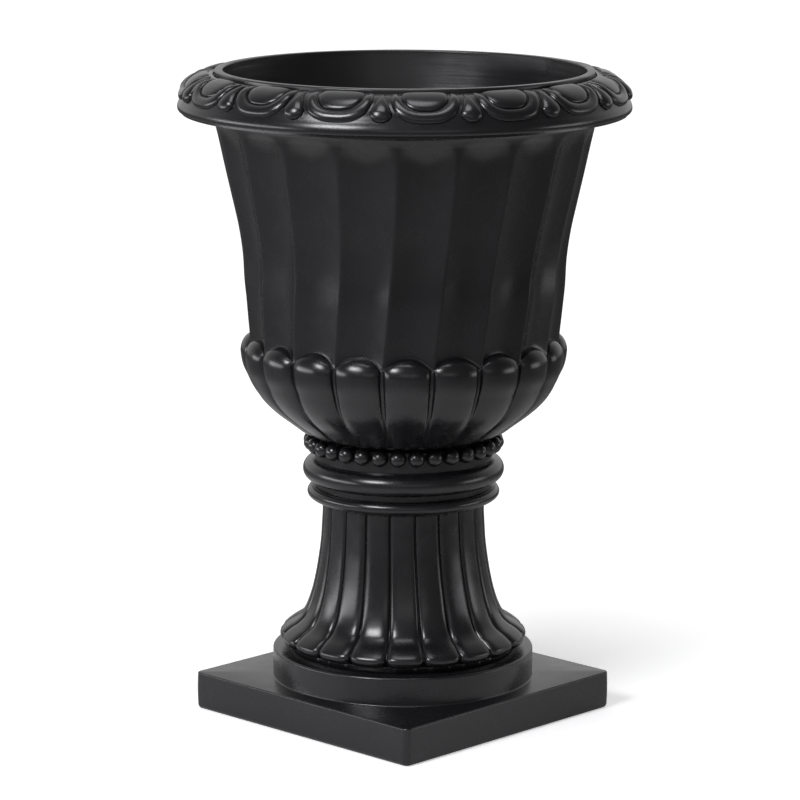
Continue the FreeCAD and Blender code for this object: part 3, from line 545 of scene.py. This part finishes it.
# A place on the crown: an angle about the axis, a share of the crown's arc from the nose to the
# top, and a lift off the arc along its own radius
def onCrown(angle, share, lift):
    turn = np.radians(rim["crownFrom"] + rim["crownTurn"] * share)
    reach = rim["crownRadius"] + lift
    radius = rim["crownCentre"][0] + reach * np.cos(turn)
    height = rim["crownCentre"][1] + reach * np.sin(turn)
    return aroundAxis(radius, angle, height)


# Sets one form out round the crown, once a pitch, starting at a share of the pitch
def setOutOnCrown(name, angle, share, lift, startShare):
    index = np.arange(rim["count"])[:, None, None] + startShare
    at = rim["phase"] + index * 360 / rim["count"]
    grids = onCrown(angle[None] + at, share[None], lift[None])
    return pieceFromGrids(name, grids, False, rim["trimSharp"])


# The ring's profile is turned round the axis: mouth, bead, crown, nose, skirt and hollow inside
def buildRim(p):
    upper, lower = (p["crownFrom"] + p["crownTurn"] * share for share in p["crownShares"])
    crown = arcRun(p["crownCentre"], p["crownRadius"], upper, lower, p["crownRows"])
    profile = np.concatenate([
        [p["mouth"]], smoothRun(p["bead"] + [tuple(crown[0])], p["beadRows"]), crown[1:],
        smoothRun(p["nose"], p["noseRows"]), p["skirt"],
        arcRun(p["crownCentre"], p["crownRadius"] - p["wall"], *p["innerTurn"], p["innerRows"]),
        p["ledge"]])
    return turnedPiece("rimRing", profile, p["columns"], True, p["sharp"])


# How far a flattened ellipse of one reach goes at a turn given by its sine and cosine
def flatReach(s, c, power):
    return (np.abs(s) ** power + np.abs(c) ** power) ** (-1 / power)


# An outline of a swag at a turn away from straight down: a flattened ellipse in angle and share
def swagOutline(turn, width, low, power):
    s, c = np.sin(turn), np.cos(turn)
    reach = flatReach(s, c, power)
    return width * reach * s, swag["topShare"] - (swag["topShare"] - low) * reach * c


# Each swag is a tube laid along the crown between two outlines. Round it, the place across goes
# as a cosine and the lift as a sine, and its ends narrow and close a little under the surface.
def buildSwags(p):
    turn = np.radians(np.linspace(-90, 90, p["along"]))[:, None]
    around = np.radians(np.arange(p["around"]) * 360 / p["around"])[None, :]
    outerAngle, outerShare = swagOutline(turn, p["outerWidth"], p["outerLow"], p["outerPower"])
    innerAngle, innerShare = swagOutline(turn, p["innerWidth"], p["innerLow"], p["innerPower"])
    middle = 1 - ease(np.abs(np.degrees(turn)), p["endFrom"], 90)
    top = p["lift"] * (p["endLift"] + (1 - p["endLift"]) * middle)
    lift = np.where(np.sin(around) > 0, top, p["sink"]) * np.sin(around)
    across = 0.5 - 0.5 * np.cos(around) * (p["endWidth"] + (1 - p["endWidth"]) * middle)
    angle = innerAngle + (outerAngle - innerAngle) * across
    share = innerShare + (outerShare - innerShare) * across
    return setOutOnCrown("rimSwags", angle, share, lift, 0)


# Each cushion is a dome that fills a swag: from its middle out to the swag's inner outline and
# back under the crown, high until near the edge, with a nearly straight top side
def buildCushions(p):
    turn = np.radians(np.arange(p["along"]) * 360 / p["along"])[None, :]
    s, c = np.sin(turn), np.cos(turn)
    reach = flatReach(s, c, swag["innerPower"])
    deep = np.where(c > 0, (swag["topShare"] - swag["innerLow"]) * p["gap"], p["topDepth"])
    out = np.linspace(p["centreHole"], 1, p["out"])[:, None]
    edge = np.concatenate([out, out[::-1]])
    top = p["lift"] * np.sqrt(1 - out ** p["shoulder"])
    under = -p["sink"] * np.sqrt(1 - out[::-1] ** 2) - p["edgeSink"]
    lift = np.concatenate([top, under])
    angle = edge * swag["innerWidth"] * p["gap"] * reach * s
    share = swag["topShare"] - p["topDrop"] - edge * deep * reach * c
    return setOutOnCrown("rimCushions", angle, share, lift, 0)


# Each drop is a pear: round below its widest place, then narrowing in a smooth hollow curve to a
# slim neck. Its half width sets how high it stands.
def buildDrops(p):
    along = np.linspace(0, 1, p["along"]) ** p["crowding"]
    share = (p["low"] + (p["top"] - p["low"]) * along)[:, None]
    sink = np.clip((p["wide"] - share) / (p["wide"] - p["low"]), 0, 1)
    rise = np.clip((share - p["wide"]) / (p["top"] - p["wide"]), 0, 1)
    foot = np.maximum(np.sqrt(1 - sink**2), p["leastWidth"])
    narrowing = (1 - ease(rise, *p["taperSpan"])) / (1 - ease(0.0, *p["taperSpan"]))
    taper = p["neck"] + (1 - p["neck"]) * narrowing
    shape = np.where(share < p["wide"], foot, taper)
    around = np.radians(np.arange(p["around"]) * 360 / p["around"])[None, :]
    angle = p["width"] * shape * np.cos(around)
    top = p["lift"] * shape ** p["liftPower"] * (1 - p["topFade"] * ease(share, *p["fadeSpan"]))
    lift = np.where(np.sin(around) > 0, top, p["sink"]) * np.sin(around)
    return setOutOnCrown("rimDrops", angle, share, lift, 0.5)


for rimPiece in (buildRim(rim), buildSwags(swag), buildCushions(cushion), buildDrops(drop)):
    placePiece(rimPiece, urnPlastic, "urn", ["rim_ring"])


# The liner pot
liner = {
    "outside": [(9.0, 406.0), (100.0, 406.0), (139.0, 406.0), (146.0, 408.0), (150.6, 412.0),
                (152.3, 418.0), (156.0, 450.0), (162.0, 500.0), (166.6, 535.0), (169.8, 552.0),
                (174.8, 575.0), (184.0, 625.0), (193.0, 670.0), (198.6, 702.9)],
    "lipOuter": 204.6, "lipInner": 195.6, "lipBase": 703.0, "lipTop": 711.0, "lipRound": 1.7,
    "inside": [(195.6, 708.0), (190.0, 670.0), (181.0, 625.0), (171.8, 575.0), (166.8, 552.0),
               (163.6, 535.0), (159.0, 500.0), (153.0, 450.0), (149.3, 420.0), (147.0, 413.8),
               (142.0, 410.6), (136.0, 410.0), (100.0, 410.0), (9.0, 410.0)],
    "outsideRows": 70, "lipRows": 8, "insideRows": 80, "columns": 320, "sharp": 45.0,
}


# The pot's closed profile, out over the floor, up the wall, over the lip and back down inside,
# is turned round the axis
def buildLiner(p):
    edge, rows = p["lipRound"], p["lipRows"]
    profile = np.concatenate([
        smoothRun(p["outside"], p["outsideRows"]), [[p["lipOuter"], p["lipBase"]]],
        arcRun((p["lipOuter"] - edge, p["lipTop"] - edge), edge, 0, 90, rows),
        arcRun((p["lipInner"] + edge, p["lipTop"] - edge), edge, 90, 180, rows),
        smoothRun(p["inside"], p["insideRows"])])
    return turnedPiece("linerPot", profile, p["columns"], True, p["sharp"])


# The drain plug
plug = {
    "profile": [(0.8, 398.0), (7.1, 398.0), (8.0, 399.0), (8.6, 402.0), (8.6, 409.9),
                (15.4, 410.0), (16.0, 410.6), (16.0, 412.2), (15.0, 413.0), (4.6, 413.2),
                (3.6, 414.2), (3.5, 417.0), (4.6, 418.4), (6.0, 419.6), (6.0, 423.0),
                (4.6, 424.8), (2.0, 425.0), (0.8, 425.0)],
    "steps": 3, "columns": 48, "sharp": 40.0,
}


# The plug's profile is turned round the axis and closed at both ends
def buildPlug(p):
    profile = straightRun(p["profile"], p["steps"])
    return turnedPiece("drainPlug", profile, p["columns"], False, p["sharp"])


placePiece(buildLiner(liner), linerPlastic, "liner", ["liner_pot"])
placePiece(buildPlug(plug), plugRubber, "plug", ["drain_plug"])

# Bolts, washers, nuts and screws keep their own meshes and get the steel's finish
for name in ("neck_bolts", "neck_washers", "neck_nuts", "base_screws", "rim_screws"):
    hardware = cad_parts[name]
    for place in range(len(hardware.data.materials)):
        hardware.data.materials[place] = zincSteel
    if not len(hardware.data.materials):
        hardware.data.materials.append(zincSteel)
print("hardware finished")


# The studio: pale paper whose colour darkens far out as painted shade for the dim far studio,
# plain lamps placed from the photographer's side, a dim room and the camera. Distances are in
# metres.
studio = {
    # The far colour is painted shade: the paper darkens away from the urn to stand in for the dim
    # far studio seen in the urn's gloss
    "floorHalf": 9.0, "nearColour": 0.74, "farPaintedShade": 0.28, "paintedShadeSpan": (0.5, 1.1),
    "nearGlow": 0.46, "farGlow": 1.0, "glowSpan": (0.25, 1.2),
    "surround": 0.12, "backLight": 0.75, "backSpan": (-0.1, 0.8),
    "frontLight": 0.28, "frontSpan": (-0.4, -1.0), "photoTurn": 43.86,
}
lamps = {
    "leftBox": {"at": (-3.0, -0.5, 0.60), "size": (2.8, 0.6), "power": 34.0},
    "rightBox": {"at": (3.0, -0.2, 0.44), "size": (1.6, 0.7), "power": 9.0},
    "keyBox": {"at": (-1.45, -1.9, 2.1), "size": (1.0, 0.8), "power": 62.0},
    "frontBox": {"at": (0.5, -3.9, 1.2), "size": (3.0, 0.4), "power": 4.5},
    "topBox": {"at": (-0.2, -0.7, 3.4), "size": (1.6, 1.4), "power": 34.0},
}
lampColour = (0.97, 0.97, 1.0)
lampTarget = (0, 0, 0.38)
view = {"distance": 3.8857, "height": 1.1198, "pan": -0.06, "pitch": 11.233, "roll": 0.194,
        "lens": 163.136, "sensor": 36.0, "clipEnd": 60.0}


# The paper's light and its colour both go by the distance from the urn. The colour darkens far
# out as painted shade for the dim far studio that the urn's gloss reflects. The added glow is
# for the camera only and makes the far paper white.
def buildFloor(s):
    half = s["floorHalf"]
    mesh = bpy.data.meshes.new("studioFloor")
    mesh.from_pydata([(-half, -half, 0), (half, -half, 0), (half, half, 0), (-half, half, 0)], [],
                     [(0, 1, 2, 3)])
    floor = bpy.data.objects.new("studioFloor", mesh)
    bpy.context.scene.collection.objects.link(floor)
    material = bpy.data.materials.new("palePaper")
    material.use_nodes = True
    tree = material.node_tree
    tree.nodes.remove(tree.nodes["Principled BSDF"])
    coordinates = addNode(tree, "ShaderNodeTexCoord")
    distance = addNode(tree, "ShaderNodeVectorMath", operation="LENGTH")
    # Painted shade: the paper's colour falls from near to far with distance from the urn, for the
    # dim far studio that the urn's gloss reflects
    paintedShade = addRange(tree, s["paintedShadeSpan"], s["nearColour"], s["farPaintedShade"], "SMOOTHSTEP")
    paper = addNode(tree, "ShaderNodeBsdfDiffuse")
    brightened = addRange(tree, s["glowSpan"], s["nearGlow"], s["farGlow"])
    rays = addNode(tree, "ShaderNodeLightPath")
    seen = addNode(tree, "ShaderNodeMath", operation="MULTIPLY")
    glow = addNode(tree, "ShaderNodeEmission", in_Color=(1, 1, 1, 1))
    both = addNode(tree, "ShaderNodeAddShader")
    tree.links.new(coordinates.outputs["Object"], distance.inputs[0])
    tree.links.new(distance.outputs["Value"], paintedShade.inputs["Value"])
    tree.links.new(paintedShade.outputs["Result"], paper.inputs["Color"])
    tree.links.new(distance.outputs["Value"], brightened.inputs["Value"])
    tree.links.new(brightened.outputs["Result"], seen.inputs[0])
    tree.links.new(rays.outputs["Is Camera Ray"], seen.inputs[1])
    tree.links.new(seen.outputs["Value"], glow.inputs["Strength"])
    tree.links.new(paper.outputs["BSDF"], both.inputs[0])
    tree.links.new(glow.outputs["Emission"], both.inputs[1])
    tree.links.new(both.outputs["Shader"], tree.nodes["Material Output"].inputs["Surface"])
    mesh.materials.append(material)


# Turns a place given from the photographer's side, x right and y away, into the frame
def fromCamera(x, y, z):
    turn = math.radians(studio["photoTurn"])
    return (x * math.cos(turn) - y * math.sin(turn), x * math.sin(turn) + y * math.cos(turn), z)


# Puts a thing at a place and points its -Z at a target, with its own Y as upright as can be
# before the roll
def placeAimed(thing, place, target, roll=0.0):
    away = np.array(place, float) - np.array(target, float)
    away /= np.linalg.norm(away)
    right = np.cross((0, 0, 1), away)
    right /= np.linalg.norm(right)
    up = np.cross(away, right)
    turn = math.radians(roll)
    rolledRight = right * math.cos(turn) + up * math.sin(turn)
    rolledUp = up * math.cos(turn) - right * math.sin(turn)
    columns = np.stack([rolledRight, rolledUp, away, np.array(place, float)], 1)
    thing.matrix_world = Matrix([*columns.tolist(), [0, 0, 0, 1]])


# Every lamp is a rectangle that faces the middle of the urn
def buildLamps():
    for name, lamp in lamps.items():
        light = bpy.data.lights.new(name, "AREA")
        light.shape = "RECTANGLE"
        light.size, light.size_y = lamp["size"]
        light.energy = lamp["power"]
        light.color = lampColour
        thing = bpy.data.objects.new(name, light)
        bpy.context.scene.collection.objects.link(thing)
        placeAimed(thing, fromCamera(*lamp["at"]), lampTarget)


# What the camera sees round the floor is white. Gloss and light see a dim room, paler behind the
# urn and a little paler in front, by direction alone.
def buildSurroundings(s):
    world = bpy.data.worlds.new("studioRoom")
    bpy.context.scene.world = world
    world.use_nodes = True
    tree = world.node_tree
    room = tree.nodes["Background"]
    room.inputs["Color"].default_value = (1, 1, 1, 1)
    white = addNode(tree, "ShaderNodeBackground", in_Color=(1, 1, 1, 1), in_Strength=1.0)
    mix = addNode(tree, "ShaderNodeMixShader")
    rays = addNode(tree, "ShaderNodeLightPath")
    direction = addNode(tree, "ShaderNodeTexCoord")
    behind = addNode(tree, "ShaderNodeVectorMath", operation="DOT_PRODUCT")
    behind.inputs[1].default_value = fromCamera(0.0, 1.0, 0.0)
    back = addRange(tree, s["backSpan"], s["surround"], s["backLight"], "SMOOTHSTEP")
    front = addRange(tree, s["frontSpan"], 0.0, s["frontLight"] - s["surround"], "SMOOTHSTEP")
    total = addNode(tree, "ShaderNodeMath", operation="ADD")
    tree.links.new(direction.outputs["Generated"], behind.inputs[0])
    tree.links.new(behind.outputs["Value"], back.inputs["Value"])
    tree.links.new(behind.outputs["Value"], front.inputs["Value"])
    tree.links.new(back.outputs["Result"], total.inputs[0])
    tree.links.new(front.outputs["Result"], total.inputs[1])
    tree.links.new(total.outputs["Value"], room.inputs["Strength"])
    tree.links.new(rays.outputs["Is Camera Ray"], mix.inputs["Fac"])
    tree.links.new(room.outputs["Background"], mix.inputs[1])
    tree.links.new(white.outputs["Background"], mix.inputs[2])
    tree.links.new(mix.outputs["Shader"], tree.nodes["World Output"].inputs["Surface"])


# The camera stands back from the urn's axis and looks along its pan and pitch, then is rolled
def buildCamera(v):
    camera = bpy.data.cameras.new("photoCamera")
    camera.lens = v["lens"]
    camera.sensor_width = v["sensor"]
    camera.clip_end = v["clipEnd"]
    thing = bpy.data.objects.new("photoCamera", camera)
    bpy.context.scene.collection.objects.link(thing)
    pan, pitch = math.radians(v["pan"]), math.radians(v["pitch"])
    forward = (math.sin(pan) * math.cos(pitch), math.cos(pan) * math.cos(pitch), -math.sin(pitch))
    place = (0.0, -v["distance"], v["height"])
    target = [a + b for a, b in zip(place, forward)]
    placeAimed(thing, fromCamera(*place), fromCamera(*target), v["roll"])
    bpy.context.scene.camera = thing


buildFloor(studio)
buildLamps()
buildSurroundings(studio)
buildCamera(view)
bpy.context.scene.view_settings.view_transform = "Standard"
print("studio set")

bpy.context.view_layer.update()
